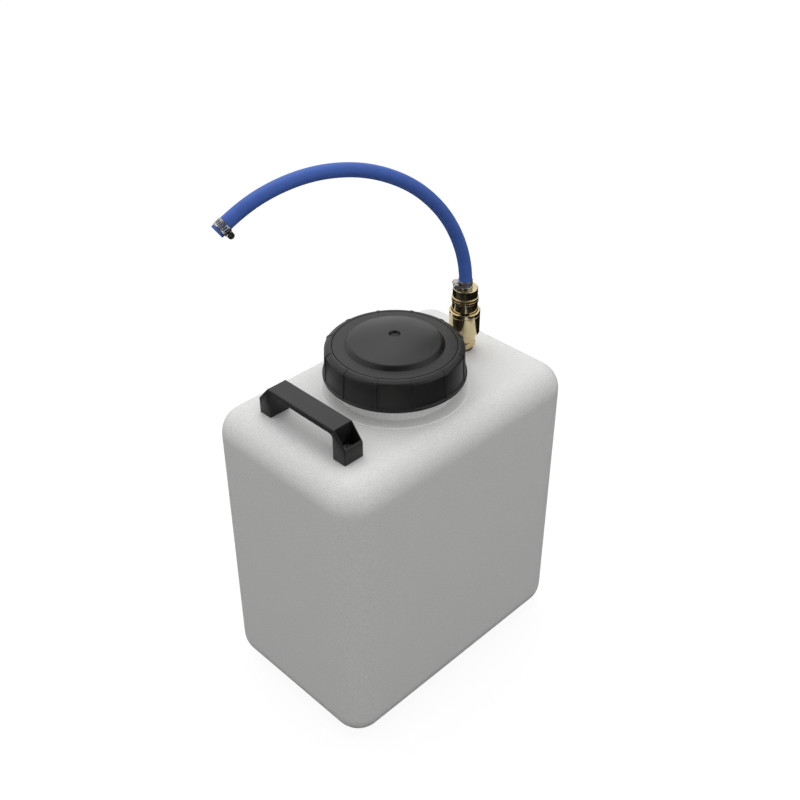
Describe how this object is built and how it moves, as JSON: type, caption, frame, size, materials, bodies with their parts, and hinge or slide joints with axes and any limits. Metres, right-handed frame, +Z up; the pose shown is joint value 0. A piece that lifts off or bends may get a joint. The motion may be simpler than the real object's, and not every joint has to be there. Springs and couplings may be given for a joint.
{
  "type": "fresh water tank",
  "caption": "Upright plastic water tank with a ribbed screw lid, a bridge handle, and a quick coupling with a short arched hose on its top face.",
  "frame": {"origin": "middle of the tank's flat foot, on the surface it stands on", "axes": "+Z up, +X along the tank from the handle to the outlet, +Y across the tank"},
  "size_m": [0.28, 0.182, 0.5144],
  "materials": {
    "tank_plastic": "natural white polyethylene, fine matt grain",
    "black_moulding": "black polypropylene, fine texture",
    "black_handle": "black glass-filled nylon, fine texture",
    "seal_rubber": "matt food-grade rubber",
    "brass": "polished, faintly tarnished",
    "plated_brass": "polished warm nickel plating on brass",
    "stainless": "bright stainless steel",
    "spring_steel": "drawn stainless wire",
    "tube_plastic": "translucent polyethylene",
    "strainer_plastic": "moulded polypropylene",
    "valve_plastic": "acetal",
    "hose_blue": "matt blue drinking-water hose"
  },
  "bodies": {
    "tank": {"tank_shell": "tank_plastic", "handle_grip": "black_handle", "handle_screws": "stainless", "handle_washers": "stainless", "handle_inserts": "brass", "outlet_nipple": "brass", "outlet_washer": "seal_rubber", "backnut_washer": "seal_rubber", "outlet_backnut": "brass", "dip_tube": "tube_plastic", "foot_strainer": "strainer_plastic"},
    "lid_plate": {"lid_disc": "black_moulding", "lid_gasket": "seal_rubber"},
    "lid_screw": {"lid_ring": "black_moulding"},
    "coupler": {"coupler_body": "plated_brass", "sleeve_stop_ring": "spring_steel", "sleeve_spring": "spring_steel", "locking_balls": "stainless", "plug_seal": "seal_rubber", "valve_poppet": "valve_plastic", "valve_spring": "spring_steel", "hose_tail": "plated_brass", "water_hose": "hose_blue", "lower_clamp_band": "stainless", "lower_clamp_housing": "stainless", "lower_clamp_screw": "stainless", "end_clamp_band": "stainless", "end_clamp_housing": "stainless", "end_clamp_screw": "stainless"},
    "sleeve": {"coupler_sleeve": "plated_brass"}
  },
  "joints": [
    {"name": "lid_lift", "type": "slide", "parent": "tank", "child": "lid_plate", "axis": [0, 0, 1], "range_m": [0, 0.0455]},
    {"name": "lid_turn", "type": "hinge", "parent": "lid_plate", "child": "lid_screw", "pos_m": [0, 0, 0.33], "axis": [0, 0, 1], "range_deg": [0, 2700]},
    {"name": "coupler_swivel", "type": "hinge", "parent": "tank", "child": "coupler", "pos_m": [0.091, 0, 0.33], "axis": [0, 0, 1], "continuous": true},
    {"name": "sleeve_draw", "type": "slide", "parent": "coupler", "child": "sleeve", "axis": [0, 0, 1], "range_m": [0, 0.0045], "stiffness_N_per_m": 1200, "springref_m": -0.004, "deforming": ["sleeve_spring"]}
  ],
  "couplings": [
    {"joint": "lid_lift", "follows": "lid_turn", "m_per_rad": 0.00095493}
  ]
}
